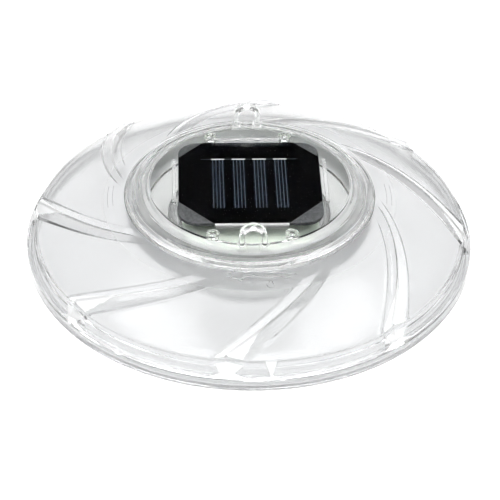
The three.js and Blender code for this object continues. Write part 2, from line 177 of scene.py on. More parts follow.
def object_noise(tree, scale, detail=3.0):
    """Noise that follows the piece's own coordinates."""
    place = tree.nodes.new("ShaderNodeTexCoord")
    noise = add_node(tree, "ShaderNodeTexNoise", Scale=scale, Detail=detail)
    link(place.outputs["Object"], noise, "Vector")
    return noise


def add_bump(tree, shader, height, strength, distance):
    bump = add_node(tree, "ShaderNodeBump", Strength=strength, Distance=distance)
    link(height, bump, "Height")
    link(bump.outputs["Normal"], shader, "Normal")


def mix_by_noise(tree, shader, noise, dark, light, socket="Base Color"):
    ramp = tree.nodes.new("ShaderNodeValToRGB")
    for element, position, colour in zip(ramp.color_ramp.elements, (0.35, 0.65), (dark, light)):
        element.position = position
        element.color = (*colour, 1)
    link(noise.outputs["Fac"], ramp, "Fac")
    link(ramp.outputs["Color"], shader, socket)


def clear_plastic(name, tint, roughness, waviness, clearness=1.0):
    """Clear moulding with the faint flow waviness of an injected part."""
    material, tree, shader = new_material(name)
    set_inputs(shader, Base_Color=(*tint, 1), Transmission_Weight=clearness, IOR=1.5, Roughness=roughness)
    noise = object_noise(tree, 60, 1.0)
    add_bump(tree, shader, noise.outputs["Fac"], waviness, 0.002)
    return material


def opaque(name, dark, light, roughness, grain=400, metallic=0.0, bump=0.1, shine=0.5):
    """Two close tones mixed by a fine grain, with a slight bump from the same grain."""
    material, tree, shader = new_material(name)
    set_inputs(shader, Specular_IOR_Level=shine, Roughness=roughness, Metallic=metallic)
    noise = object_noise(tree, grain)
    mix_by_noise(tree, shader, noise, dark, light)
    add_bump(tree, shader, noise.outputs["Fac"], bump, 0.0001)
    return material


def make_materials():
    shell_tint = (0.825, 0.83, 0.835)
    made = {
        "shell": clear_plastic("clear_shell", shell_tint, 0.02, 0.05),
        "lining": clear_plastic("textured_lining", shell_tint, 0.13, 0.02),
        "satin": clear_plastic("satin_shell", (0.95, 0.955, 0.96), 0.25, 0.02, 0.9),
        "module": clear_plastic("clear_module", (0.985, 0.99, 0.985), 0.015, 0.03),
        "frost": clear_plastic("frosted_module", (0.95, 0.955, 0.955), 0.35, 0.02, 0.8),
        "cup": clear_plastic("satin_module", (0.99, 0.995, 0.99), 0.12, 0.02, 0.97),
        "led": clear_plastic("led_epoxy", (0.99, 0.99, 0.97), 0.08, 0.02),
        "seal": clear_plastic("seal_silicone", (0.96, 0.97, 0.97), 0.4, 0.02, 0.6),
        "button": opaque("button_silicone", (0.62, 0.65, 0.67), (0.7, 0.73, 0.75), 0.55),
        "panel_board": opaque("panel_laminate", (0.06, 0.062, 0.066), (0.1, 0.103, 0.108), 0.5, 900, shine=0.2),
        "panel_face": opaque(
            "panel_black", (0.0008, 0.0008, 0.0014), (0.0012, 0.0012, 0.002), 0.2, 600, bump=0.02, shine=0.15),
        "cell": opaque(
            "cell_silicon", (0.005, 0.0085, 0.0145), (0.0075, 0.0115, 0.0195), 0.25, 700, bump=0.02, shine=0.2),
        "line": opaque("collector_silver", (0.036, 0.05, 0.064), (0.052, 0.068, 0.085), 0.4, 500, 0.3),
        "tinned": opaque("tinned_metal", (0.62, 0.63, 0.65), (0.8, 0.81, 0.82), 0.3, 900, 1.0),
        "board": opaque("solder_mask", (0.84, 0.93, 0.82), (0.88, 0.96, 0.86), 0.4, 250),
        "steel": opaque("screw_steel", (0.5, 0.5, 0.52), (0.68, 0.68, 0.7), 0.3, 1200, 1.0),
        "black": opaque("moulded_black", (0.012, 0.012, 0.014), (0.03, 0.03, 0.033), 0.5),
        "white": opaque("moulded_white", (0.72, 0.72, 0.7), (0.8, 0.8, 0.78), 0.45),
        "sleeve": opaque("battery_sleeve", (0.05, 0.26, 0.12), (0.06, 0.32, 0.15), 0.25, 200),
        "red": opaque("wire_red", (0.45, 0.03, 0.02), (0.52, 0.045, 0.03), 0.45),
        "copper": opaque("winding_copper", (0.5, 0.2, 0.1), (0.62, 0.27, 0.14), 0.3, 900, 1.0),
        "dark": opaque("wire_black", (0.015, 0.015, 0.015), (0.03, 0.03, 0.03), 0.45),
    }
    for reach, roughness in LINING_STEPS:
        made[reach] = clear_plastic(f"lining_within_{reach}", shell_tint, roughness, 0.02)
    return made


# ---------- mesh tools: outlines are in millimetres ----------
def polar(radius, angle, x=0, y=0):
    return (x + radius * math.cos(angle), y + radius * math.sin(angle))


def fillet(before, corner, after, radius, steps=5):
    """Points of the arc that rounds one corner of an outline."""
    a = (Vector(before) - Vector(corner)).normalized()
    b = (Vector(after) - Vector(corner)).normalized()
    half = a.angle(b) / 2
    if radius <= 0 or half > math.pi / 2 - 0.05:
        return [tuple(corner)]
    reach = radius / math.tan(half)
    centre = Vector(corner) + (a + b).normalized() * radius / math.sin(half)
    start = Vector(corner) + a * reach - centre
    end = Vector(corner) + b * reach - centre
    total = start.angle_signed(end)
    points = []
    for i in range(steps + 1):
        turn = -total * i / steps
        x = start.x * math.cos(turn) - start.y * math.sin(turn)
        y = start.x * math.sin(turn) + start.y * math.cos(turn)
        points.append((centre.x + x, centre.y + y))
    return points


def rounded(outline, radius=0.3, closed=True, steps=4):
    """An outline of (x, y) or (x, y, radius) points with its corners rounded."""
    result = []
    count = len(outline)
    for i, point in enumerate(outline):
        size = point[2] if len(point) > 2 else radius
        if not closed and i in (0, count - 1):
            result.append(point[:2])
            continue
        before = outline[i - 1][:2]
        after = outline[(i + 1) % count][:2]
        result.extend(fillet(before, point[:2], after, size, steps))
    return result


def finish_mesh(name, verts, faces, sharp_degrees):
    mesh = bpy.data.meshes.new(name)
    mesh.from_pydata([tuple(value * MM for value in v) for v in verts], [], faces)
    work = bmesh.new()
    work.from_mesh(mesh)
    bmesh.ops.remove_doubles(work, verts=work.verts, dist=1e-7)
    bmesh.ops.recalc_face_normals(work, faces=work.faces)
    work.to_mesh(mesh)
    work.free()
    mesh.shade_smooth()
    mesh.set_sharp_from_angle(angle=math.radians(sharp_degrees))
    return mesh


def place_mesh(name, mesh, material):
    obj = bpy.data.objects.new(name, mesh)
    scene.collection.objects.link(obj)
    mesh.materials.append(material)
    return obj


def make_object(name, verts, faces, material, sharp_degrees=35):
    return place_mesh(name, finish_mesh(name, verts, faces, sharp_degrees), material)


def assign(obj, body, node):
    """Puts a piece on its body, in place of its CAD node."""
    weighted = obj.modifiers.new("weighted", "WEIGHTED_NORMAL")
    weighted.keep_sharp = True
    weighted.weight = 100
    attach(obj, body)
    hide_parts(node)


def skin(rows, around, closed=False):
    """Faces between rows of points that each go once around; closed joins the last row to the first."""
    faces = []
    for row in range(rows if closed else rows - 1):
        below = row * around
        above = (row + 1) % rows * around
        for i in range(around):
            j = (i + 1) % around
            faces.append((below + i, below + j, above + j, above + i))
    return faces


def caps(rows, around):
    """Faces that close the first and last row."""
    return [tuple(range(around))[::-1], tuple(range((rows - 1) * around, rows * around))]


def in_module(obj, node):
    assign(obj, "light_module", node)


def revolve_data(outline, segments, closed=False):
    """Vertices and faces of an outline turned about Z; an open outline starts and ends on the axis."""
    verts = []
    for radius, height in outline:
        for i in range(segments):
            verts.append((*polar(radius, 2 * math.pi * i / segments), height))
    return verts, skin(len(outline), segments, closed)


def revolved(name, outline, material, segments=48, closed=False, at=(0, 0, 0), sharp=35):
    verts, faces = revolve_data(outline, segments, closed)
    moved = [(x + at[0], y + at[1], z + at[2]) for x, y, z in verts]
    return make_object(name, moved, faces, material, sharp)


def prism(name, outline, bottom, top, material, bevel=0.1):
    """An upright plate or block with its edges rounded."""
    verts = [(x, y, bottom) for x, y in outline] + [(x, y, top) for x, y in outline]
    faces = caps(2, len(outline)) + skin(2, len(outline))
    obj = make_object(name, verts, faces, material)
    if bevel > 0:
        round_edges(obj, bevel)
    return obj


def round_edges(obj, width, segments=3, angle=35):
    """Rounds every edge sharper than an angle, by a width in millimetres."""
    bevel = obj.modifiers.new("bevel", "BEVEL")
    bevel.width = width * MM
    bevel.segments = segments
    bevel.limit_method = "ANGLE"
    bevel.angle_limit = math.radians(angle)
    apply_modifiers(obj)
    obj.data.shade_smooth()
    obj.data.set_sharp_from_angle(angle=math.radians(40))


def apply_modifiers(obj):
    graph = bpy.context.evaluated_depsgraph_get()
    mesh = bpy.data.meshes.new_from_object(obj.evaluated_get(graph))
    obj.modifiers.clear()
    obj.data = mesh


def block_outline(width, depth, centre=(0, 0)):
    x, y = centre
    return [
        (x - width / 2, y - depth / 2), (x + width / 2, y - depth / 2),
        (x + width / 2, y + depth / 2), (x - width / 2, y + depth / 2),
    ]


def merge(base, others, operation="UNION"):
    """Joins or cuts closed meshes into one closed mesh, and removes the tools."""
    for other in others:
        boolean = base.modifiers.new("boolean", "BOOLEAN")
        boolean.operation = operation
        boolean.solver = "MANIFOLD"
        boolean.object = other
        apply_modifiers(base)
        bpy.data.objects.remove(other)
    base.data.shade_smooth()
    base.data.set_sharp_from_angle(angle=math.radians(35))
    return base


def swept(name, path, half_width, half_depth, material, side=(0, 1, 0), power=0.5, around=20):
    """A bar of rounded section along a path; the widths may be numbers or one number per point."""
    verts = []
    count = len(path)
    side = Vector(side)
    for i, point in enumerate(path):
        ahead = Vector(path[min(i + 1, count - 1)]) - Vector(path[max(i - 1, 0)])
        across = side.cross(ahead.normalized()).normalized()
        wide = half_width[i] if isinstance(half_width, list) else half_width
        deep = half_depth[i] if isinstance(half_depth, list) else half_depth
        for k in range(around):
            angle = 2 * math.pi * k / around
            c, s = math.cos(angle), math.sin(angle)
            u = wide * math.copysign(abs(c) ** power, c)
            v = deep * math.copysign(abs(s) ** power, s)
            verts.append(tuple(Vector(point) + across * u + side * v))
    faces = caps(count, around) + skin(count, around)
    return make_object(name, verts, faces, material, 50)


def tube(name, path, radius, material, around=16):
    """A round wire along a path, its section carried along without twist."""
    points = [Vector(p) for p in path]
    count = len(points)
    normal = None
    verts = []
    for i, point in enumerate(points):
        ahead = (points[min(i + 1, count - 1)] - points[max(i - 1, 0)]).normalized()
        if normal is None:
            normal = ahead.orthogonal()
        normal = (normal - ahead * normal.dot(ahead)).normalized()
        across = ahead.cross(normal)
        for k in range(around):
            angle = math.tau * k / around
            verts.append(tuple(point + (normal * math.cos(angle) + across * math.sin(angle)) * radius))
    faces = caps(count, around) + skin(count, around)
    return make_object(name, verts, faces, material, 50)


def curved(route, steps=10):
    """A smooth path through the points of a route."""
    points = [Vector(p) for p in route]
    points = [2 * points[0] - points[1], *points, 2 * points[-1] - points[-2]]
    path = []
    for before, start, end, after in zip(points, points[1:], points[2:], points[3:]):
        for i in range(steps):
            t = i / steps
            path.append(0.5 * (2 * start + (end - before) * t + (2 * before - 5 * start + 4 * end - after) * t * t
                               + (3 * start - before - 3 * end + after) * t ** 3))
    path.append(points[-2])
    return path


def tipped(obj, quarter_turns_about_y, place):
    """Turns a mesh made upright onto its side and moves it, both about the origin."""
    turn = Matrix.Rotation(quarter_turns_about_y * math.pi / 2, 4, "Y")
    obj.data.transform(Matrix.Translation(Vector(place) * MM) @ turn)
    return obj


def join(base, others):
    """Adds other meshes, with their materials, to one object."""
    with bpy.context.temp_override(active_object=base, selected_editable_objects=[base, *others]):
        bpy.ops.object.join()


def repaint(obj, material, chosen, in_front_of=math.inf):
    """Gives a second finish to the faces picked by their radius, height and whether they face down."""
    obj.data.materials.append(material)
    index = len(obj.data.materials) - 1
    for face in obj.data.polygons:
        x, y, z = face.center / MM
        if y < in_front_of and chosen(math.hypot(x, y), z, face.normal.z < 0.05):
            face.material_index = index


# ---------- float ----------
def dome_height(radius):
    climb = (DOME_EDGE_RADIUS - radius) / (DOME_EDGE_RADIUS - DOME_HUB_RADIUS)
    straight = DOME_EDGE_Z + (DOME_HUB_Z - DOME_EDGE_Z) * climb
    return straight + 4 * DOME_BULGE * climb * (1 - climb)


def crest_angle(climb):
    """Where a vane's crest runs: it curls more as it climbs to the hub."""
    return VANE_RIM_ANGLE + VANE_SWEEP * (0.65 * climb + 0.35 * climb * climb)


def ridge(across, climb):
    """Relief of one vane, 0 at its feet and 1 at its crest, with a bead on the crest and grooves at the feet."""
    half = LEFT_FOOT + 0.1 * climb if across < 0 else RIGHT_FOOT
    tent = 1 - math.hypot(across / half, 0.03)
    bead = 0.4 * math.exp(-((across / CREASE) ** 2))
    foot = RIGHT_FOOT if across > 0 else -half
    groove = 0.28 * math.exp(-(((across - foot) / CREASE) ** 2))
    return (tent + math.hypot(tent, 0.02)) / 2 + bead - groove


def shell_stations():
    """Closed outline of the upper shell as (radius, height, climb, relief in mm, fill 0 to 1)."""
    stations = []

    def add(points, climb, relief=0.0, fill=0.0):
        stations.extend((r, z, climb, relief, fill) for r, z in points)

    collar = [
        (COLLAR_RADIUS, COLLAR_BOTTOM), (COLLAR_RADIUS, 36.75, 0.45), (48.9, 36.6, 0.5), (49.8, 35.3, 0.3),
        (DOME_HUB_RADIUS, DOME_HUB_Z),
    ]
    add(rounded(collar, 0.4, closed=False, steps=5)[:-1], 1)
    bands = 44
    top_edge = DOME_EDGE_RADIUS - 0.6
    for i in range(bands + 1):
        climb = 1 - i / bands
        radius = top_edge + (DOME_HUB_RADIUS - top_edge) * climb
        relief = VANE_HUB_HEIGHT + (VANE_RIM_HEIGHT - VANE_HUB_HEIGHT) * (1 - climb)
        fade_at_hub = min(1, (1 - climb) / 0.12)
        stations.append((radius, dome_height(radius), climb, relief * fade_at_hub, 0))
    wall = DOME_EDGE_RADIUS + 0.4
    channel = [
        (top_edge, dome_height(top_edge)), (wall - 0.2, DOME_EDGE_Z - 0.1, 0.5),
        (wall, FLANGE_TOP + 3.7, 0.15), (wall + 0.4, FLANGE_TOP + 3.3, 0.15),
        (wall + 0.4, FLANGE_TOP - 0.1, 0.3), (88.05, FLANGE_TOP - 0.1, 0.15),
        (88.3, FLANGE_TOP + 0.35, 0.25), (89.6, FLANGE_TOP + 0.3, 0.5),
    ]
    add(rounded(channel, 0.3, closed=False, steps=5)[1:-1], 0, 0, 1)
    inner_edge, inner_hub = 83, 49.9
    outer = [
        (89.4, FLANGE_TOP + 0.32), (FLOAT_RADIUS - 0.05, FLANGE_TOP + 0.3, 0.5), (FLOAT_RADIUS, 9.1, 0.35),
        (88.3, 9, 0.15), (88.3, 12.4, 0.1), (85.3, 12.4, 0.4), (85, DOME_EDGE_Z - SHELL_WALL, 0.8),
        (inner_edge, dome_height(inner_edge + 1) - SHELL_WALL),
    ]
    add(rounded(outer, 0.3, closed=False, steps=5)[1:-1], 0)
    inner_bands = 24
    for i in range(inner_bands + 1):
        climb = i / inner_bands
        radius = inner_edge + (inner_hub - inner_edge) * climb
        add([(radius, dome_height(radius + 1) - SHELL_WALL)], climb)
    under = [
        (inner_hub, dome_height(inner_hub + 1) - SHELL_WALL), (49.1, COLLAR_BOTTOM + 0.9, 0.5),
        (49, COLLAR_BOTTOM, 0.2), (COLLAR_RADIUS, COLLAR_BOTTOM, 0.1), (COLLAR_RADIUS, 33),
    ]
    add(rounded(under, 0.2, closed=False, steps=3)[1:-1], 1)
    return stations


def across_samples():
    """Places across one vane pitch, close together from foot to foot and closest at the crest."""
    near_crest = 0.02
    spans = [
        (-LEFT_END, -LEFT_FOOT - FOOT_EDGE, 24), (-LEFT_FOOT - FOOT_EDGE, -LEFT_FOOT, 1),
        (-LEFT_FOOT, -near_crest, 10), (-near_crest, near_crest, 12), (near_crest, 0.105, 8),
        (0.105, RIGHT_FOOT, 4), (RIGHT_FOOT, RIGHT_FOOT + FOOT_EDGE, 1), (RIGHT_FOOT + FOOT_EDGE, 0.15, 5),
        (0.15, RIGHT_END, 14),
    ]
    samples = []
    for start, end, count in spans:
        samples.extend(start + (end - start) * i / count for i in range(count))
    return samples


def reach_over_channel(radius):
    return min(1, max(0, (radius - DOME_EDGE_RADIUS) / (RAMP_FOOT_RADIUS - DOME_EDGE_RADIUS)))


def vane_end(across, radius, height):
    """The blade runs out over the channel as a solid pointed ramp, down to the flange."""
    if not -LEFT_FOOT - 1e-6 <= across <= RIGHT_FOOT + 1e-6:
        return height
    edge = DOME_EDGE_Z + VANE_RIM_HEIGHT * ridge(across, 0)
    ramp = edge - (edge - FLANGE_TOP - 0.3) * reach_over_channel(radius)
    return max(height, ramp)


def narrowed(across, radius):
    """Draws the samples of a blade's end together as it nears the flange."""
    width = 1 - 0.8 * reach_over_channel(radius)
    if across < -LEFT_FOOT:
        stretch = (LEFT_END - LEFT_FOOT * width) / (LEFT_END - LEFT_FOOT)
        return -LEFT_FOOT * width + (across + LEFT_FOOT) * stretch
    if across > RIGHT_FOOT:
        stretch = (RIGHT_END - RIGHT_FOOT * width) / (RIGHT_END - RIGHT_FOOT)
        return RIGHT_FOOT * width + (across - RIGHT_FOOT) * stretch
    return across * width


def upper_shell(materials):
    stations = shell_stations()
    samples = across_samples()
    verts = []
    for radius, height, climb, relief, fill in stations:
        for vane in range(VANES):
            for across in samples:
                turned = narrowed(across, radius) if fill else across
                angle = crest_angle(climb) + (vane + turned) * VANE_PITCH
                z = vane_end(across, radius, height) if fill else height + relief * ridge(across, climb)
                verts.append((*polar(radius, angle), z))
    faces = skin(len(stations), VANES * len(samples), closed=True)
    obj = make_object("float_upper_shell", verts, faces, materials["shell"], 28)
    merge(obj, moulded_marks(materials["shell"]))

    def line_dome(material, reach):
        repaint(obj, material, lambda radius, z, down: (
            down and radius < reach and z < min(dome_height(radius) - SHELL_WALL / 2, 33.5)))

    line_dome(materials["lining"], 84.5)
    for reach, _ in LINING_STEPS:
        line_dome(materials[reach], reach)
    repaint(obj, materials["module"], lambda radius, z, down: radius < 50.7 and (z > 34 or not down))
    repaint(obj, materials["frost"], lambda radius, z, down: not down and (
        radius > 87 and z > FLANGE_TOP + 0.7
        or 74 < radius < DOME_EDGE_RADIUS and z > dome_height(radius) + 0.35 + 0.12 * (86 - radius)))
    assign(obj, "float", "upper_shell")


def on_dome(x, y, lift=0.0):
    return (x, y, dome_height(math.hypot(x, y)) + lift)


def moulded_marks(material):
    """The raised twist arrow, a round dot, two short arcs at each side, and the gate mark on the rim."""
    marks = []

    def add(name, path, half_width, half_height):
        marks.append(swept(name, path, half_width, half_height, material, (0, 0, 1), 1, 8))

    stroke, height = 0.36, 0.45
    tip, head, tail = -11, -5, 16.5
    y_line, half_shaft, half_head = -52.2, 0.9, 2.7
    route = [
        (tail, y_line + half_shaft), (head + 1, y_line + half_shaft), (head, y_line + half_head), (tip, y_line),
        (head, y_line - half_head), (head + 1, y_line - half_shaft), (tail - 3, y_line - half_shaft),
    ]
    path = []
    for (xa, ya), (xb, yb) in zip(route, route[1:]):
        path.extend(on_dome(xa + (xb - xa) * t / 8, ya + (yb - ya) * t / 8) for t in range(8))
    path.append(on_dome(*route[-1]))
    add("arrow", path, stroke, height)
    dot = [on_dome(*polar(1.3, math.radians(120 + 25 * i), 6.3, -56.8)) for i in range(13)]
    add("dot", dot, stroke, height)
    for centre in (0, math.pi):
        for radius in (55, 57):
            angles = [centre + math.radians(-7 + 14 * i / 16) for i in range(17)]
            add(f"arc_{centre:.0f}_{radius}", [on_dome(*polar(radius, a), -0.22) for a in angles], 0.3, 0.3)
    marks.append(gate_gusset(material))
    return marks


def gate_gusset(material):
    """A small wedge across the channel at the gate, with a witness line on down the rim."""
    angle = math.radians(273.7)
    outward = Vector((math.cos(angle), math.sin(angle), 0))
    along = Vector((-math.sin(angle), math.cos(angle), 0))
    stations = [  # radius, half width, bottom, top
        (85.6, 2.6, 15, 20.75), (86.6, 2.3, 13.5, 20.2), (88.6, 0.4, 13.5, 15), (90.15, 0.35, 9.3, 14.5),
    ]
    verts = []
    for radius, half, bottom, top in stations:
        for side, z in ((-half, bottom), (half, bottom), (half, top), (-half, top)):
            verts.append(tuple(outward * radius + along * side + Vector((0, 0, z))))
    faces = [(0, 3, 2, 1), (12, 13, 14, 15)] + skin(4, 4)
    gusset = make_object("gusset", verts, faces, material, 30)
    round_edges(gusset, 0.12, 2, 20)
    return gusset


def lug_angle(number):
    return math.pi / 2 + number * 2 * math.pi / LUGS


def ring_slice(name, inner, outer, bottom, top, centre, half, material):
    steps = 12
    angles = [centre - half + 2 * half * i / steps for i in range(steps + 1)]
    outline = [polar(outer, a) for a in angles] + [polar(inner, a) for a in reversed(angles)]
    return prism(name, outline, bottom, top, material, 0)


def bayonet_blocks(material):
    """Ledges over the module's lugs, with a stop at each end of the twist."""
    inner, outer = 45.5, 47.9
    ledge_half = math.radians(18)
    stop_half = math.radians(3)
    offset = LUG_HALF + math.radians(1) + stop_half
    blocks = []
    for i in range(LUGS):
        centre = lug_angle(i)
        blocks.append(ring_slice(f"ledge_{i}", inner, outer, 29.2, 31, centre, ledge_half, material))
        for k, angle in enumerate((centre + offset, centre - TWIST - offset)):
            blocks.append(ring_slice(f"stop_{i}_{k}", inner, outer, 26, 29.4, angle, stop_half, material))
    return blocks


def lower_shell(materials):
    """The bowl: rim, outer curve, foot ring, central well and hub wall, then back along the inside."""
    outline = [
        (88, 12.1, 0.3), (88, 8.75, 0.1), (89.65, 8.7, 0.3), (89.3, 8.0, 0.4), (87.4, 7.5, 1.5), (76, 3.6, 30),
        (60, 1.1, 40), (46, 0, 1), (36, 0, 1), (33, 0.4, 1), (30.4, 2.4, 1), (30.4, 24.8, 0.3),
        (47.3, 24.8, 0.5), (47.3, 31.3, 0.2), (49, 31.3, 0.2), (49, 23.1, 1.5), (32.1, 23.1, 1),
        (32.1, 3, 1.2), (36, 1.7, 1), (46, 1.7, 1), (60, 2.8, 40), (76, 5.4, 30), (86.4, 9, 1),
        (86.4, 12.1, 0.3),
    ]
    verts, faces = revolve_data(rounded(outline, steps=6), 288, closed=True)
    obj = make_object("float_lower_shell", verts, faces, materials["satin"], 28)
    merge(obj, bayonet_blocks(materials["shell"]))
    repaint(obj, materials["cup"], lambda radius, z, down: radius < 49.5 and z > 20)
    repaint(obj, materials["frost"], lambda radius, z, down: 46 < radius < 49.5 and z > 24)
    assign(obj, "float", "lower_shell")


# ---------- light module ----------
def tether_loop(name, side, material):
    """An arch of rounded bar with flared feet, standing on the cap's shoulder."""
    half = LOOP_WIDTH / 2 - LOOP_BAR / 2
    foot = WINDOW_TOP - 1.6
    spring_line = LOOP_TOP - LOOP_WIDTH / 2
    steps, bend_steps = 14, 28
    y = side * LOOP_OFFSET
    path = [(-half, y, foot + (spring_line - foot) * i / steps) for i in range(steps)]
    for i in range(bend_steps + 1):
        x, z = polar(half, math.pi * (1 - i / bend_steps), 0, spring_line)
        path.append((x, y, z))
    path += [(half, y, spring_line - (spring_line - foot) * (i + 1) / steps) for i in range(steps)]
    flare = [math.exp(-(max(0, point[2] - foot - 1.2) / 0.9)) for point in path]
    wide = [LOOP_BAR / 2 + 1.1 * share for share in flare]
    deep = [2 + 0.7 * share for share in flare]
    return swept(name, path, wide, deep, material, (0, 1, 0), 0.6, 28)


def boss_places():
    x = centre_of("board_screw_2")[0]
    y = centre_of("board_screw_4")[1]
    return [(-x, -y), (x, -y), (-x, y), (x, y)]


def module_cover(materials):
    """The cap: window, shoulder, flange and skirt, with loops, ribs and hollow screw bosses."""
    clear, frost = materials["module"], materials["frost"]
    outline = [
        (0, WINDOW_TOP), (40.4, WINDOW_TOP, 0.5), (41.0, 39.1, 0.5), (44.3, 38.6, 0.8), (46.2, 37.2, 1.0),
        (HUB_RADIUS, 35.6, 0.5), (HUB_RADIUS, 35.2, 0.1), (45, 35.2, 0.3), (45, 32.4, 0.2), (43.3, 32.4, 0.2),
        (43.3, 36.6, 0.8), (41.6, 37.4, 0.8), (40, WINDOW_BOTTOM, 0.5), (0, WINDOW_BOTTOM),
    ]
    cover = revolved("module_cap", rounded(outline, closed=False, steps=6), clear, 256, sharp=28)
    added = [tether_loop("loop_front", -1, clear), tether_loop("loop_back", 1, clear)]
    for side in (-1, 1):
        for name, outline in (
            ("y", block_outline(RIB_LENGTH, RIB_WIDTH, (0, side * RIB_OFFSET_Y))),
            ("x", block_outline(RIB_WIDTH, RIB_LENGTH, (side * RIB_OFFSET_X, 0))),
        ):
            added.append(prism(f"rib_{name}{side}", outline, WINDOW_TOP - 0.2, WINDOW_TOP + 1, clear, 0.25))
    bores = []
    bottom = BOARD_TOP + 0.3
    for i, (x, y) in enumerate(boss_places()):
        boss = [(0, bottom), (2.25, bottom), (2.4, bottom + 0.2), (2.4, WINDOW_BOTTOM - 0.4),
                (2.8, WINDOW_BOTTOM + 0.2), (0, WINDOW_BOTTOM + 0.2)]
        added.append(revolved(f"boss_{i}", boss, clear, 40, at=(x, y, 0)))
        bore = [(0, bottom - 1), (SCREW_BORE, bottom - 1), (SCREW_BORE, 37.2), (0.6, 37.7), (0, 37.7)]
        bores.append(revolved(f"bore_{i}", bore, clear, 32, at=(x, y, 0)))
    merge(cover, added)
    merge(cover, bores, "DIFFERENCE")
    def on_ribs(radius, z, down):
        return radius < 33 and z > WINDOW_TOP + 0.02

    repaint(cover, frost, lambda radius, z, down: down and 39.5 < radius < 46 and z < WINDOW_BOTTOM)
    repaint(cover, materials["satin"], on_ribs)
    # Painted highlight: only the front rib takes the whiter frosted finish, standing in for the light that falls on it
    # from the front. The side and back ribs keep the satin finish.
    repaint(cover, frost, on_ribs, in_front_of=1 - RIB_OFFSET_Y)
    in_module(cover, "module_cover")


def module_base(materials):
    """The stepped cup: floor, well, ledge and wall, with the bayonet lugs and the button's hole."""
    clear = materials["cup"]
    outline = [
        (0, 1.2), (28.6, 1.2, 1.2), (28.6, 25.3, 0.8), (45, 25.3, 0.8), (45, 30.6, 0.3), (43, 30.6, 0.2),
        (43, 36.2, 0.3), (41.4, 36.2, 0.3), (41.4, 27.1, 1.0), (26.8, 27.1, 0.8), (26.8, 3, 1.0), (0, 3),
    ]
    base = revolved("module_cup", rounded(outline, closed=False, steps=6), clear, 224, sharp=28)
    merge(base, [ring_slice(f"lug_{i}", 44, 46.9, 26.6, 28.8, lug_angle(i), LUG_HALF, clear) for i in range(LUGS)])
    hole = revolved("button_hole", [(0, 0), (5.4, 0), (5, 1.6), (5, 4), (0, 4)], clear, 64)
    merge(base, [hole], "DIFFERENCE")
    repaint(base, materials["frost"], lambda radius, z, down: radius > 40.5 and z > 29)
    in_module(base, "module_base")


def seal_ring(name, node, radius, height, thickness, material):
    outline = [polar(thickness / 2, math.tau * i / 20, radius, height) for i in range(20)]
    in_module(revolved(name, outline, material, 160, closed=True), node)


# ---------- solar panel ----------
def rounded_rectangle(left, front, right, back, radius, steps=12):
    points = []
    for k in range(4):
        x = right - radius if k in (0, 3) else left + radius
        y = back - radius if k in (0, 1) else front + radius
        points.extend(polar(radius, math.pi / 2 * (k + i / steps), x, y) for i in range(steps + 1))
    return points


def solar_panel(materials):
    (left, front, bottom), (right, back, top) = ends("panel_board")
    outline = rounded_rectangle(left, front, right, back, 8)
    board = prism("solar_panel_board", outline, bottom, top, materials["panel_board"], 0.25)
    in_module(board, "panel_board")

    (left, front, bottom), (right, back, top) = ends("panel_face_sheet")
    corners = [
        (left + 9.8, back), (left, back - 10.4), (left, front + 14), (left + 13.4, front),
        (right - 13.4, front), (right, front + 14), (right, back - 10.4), (right - 9.8, back),
    ]
    face = prism("solar_panel_face", corners, bottom, top, materials["panel_face"], 0.04)
    in_module(face, "panel_face_sheet")

    for number in range(1, CELLS + 1):
        solar_cell(number, materials)
    bus_ribbon(materials)


def solar_cell(number, materials):
    """A cell strip with its collector lines along it."""
    node = f"solar_cell_{number}"
    (x0, y0, z0), (x1, y1, z1) = ends(node)
    length = y1 - y0
    x, y = (x0 + x1) / 2, (y0 + y1) / 2
    outline = block_outline(x1 - x0, length, (x, y))
    cell = prism(f"cell_strip_{number}", outline, z0, z1, materials["cell"], 0.04)
    lines = []
    for k in range(COLLECTORS):
        line = block_outline(COLLECTOR_WIDTH, length, (x0 + (x1 - x0) * (k + 0.5) / COLLECTORS, y))
        lines.append(prism(f"line_{number}_{k}", line, z1 - 0.02, z1 + 0.01, materials["line"], 0))
    join(cell, lines)
    in_module(cell, node)


def bus_ribbon(materials):
    """The ribbon across the cells' far ends, with a tab on each cell."""
    (x0, y0, z0), (x1, y1, _) = ends("cell_bus_ribbon")
    y = (y0 + y1) / 2
    bottom = z0 + 0.01
    ribbon = block_outline(x1 - x0, 0.22, (0, y))
    wire = prism("cell_bus", ribbon, bottom, bottom + 0.05, materials["line"], 0)
    tabs = []
    for number in range(1, CELLS + 1):
        tab = block_outline(TAB_LENGTH, TAB_WIDTH, (centre_of(f"solar_cell_{number}")[0], y))
        tabs.append(prism(f"tab_{number}", tab, bottom - 0.01, bottom + 0.06, materials["white"], 0))
    join(wire, tabs)
    in_module(wire, "cell_bus_ribbon")


# ---------- electronics ----------
def circuit_board(materials):
    outline = [(-27, -27), (-18, -36.5), (18, -36.5), (27, -27), (27, 27), (18, 36.5), (-18, 36.5), (-27, 27)]
    board = prism("driver_board", outline, BOARD_BOTTOM, BOARD_TOP, materials["board"], 0.15)
    holes = []
    for i, (x, y) in enumerate(boss_places()):
        hole = [(0, BOARD_BOTTOM - 1), (SCREW_BORE, BOARD_BOTTOM - 1), (SCREW_BORE, BOARD_TOP + 1),
                (0, BOARD_TOP + 1)]
        holes.append(revolved(f"hole_{i}", hole, materials["board"], 32, at=(x, y, 0)))
    merge(board, holes, "DIFFERENCE")
    in_module(board, "circuit_board")


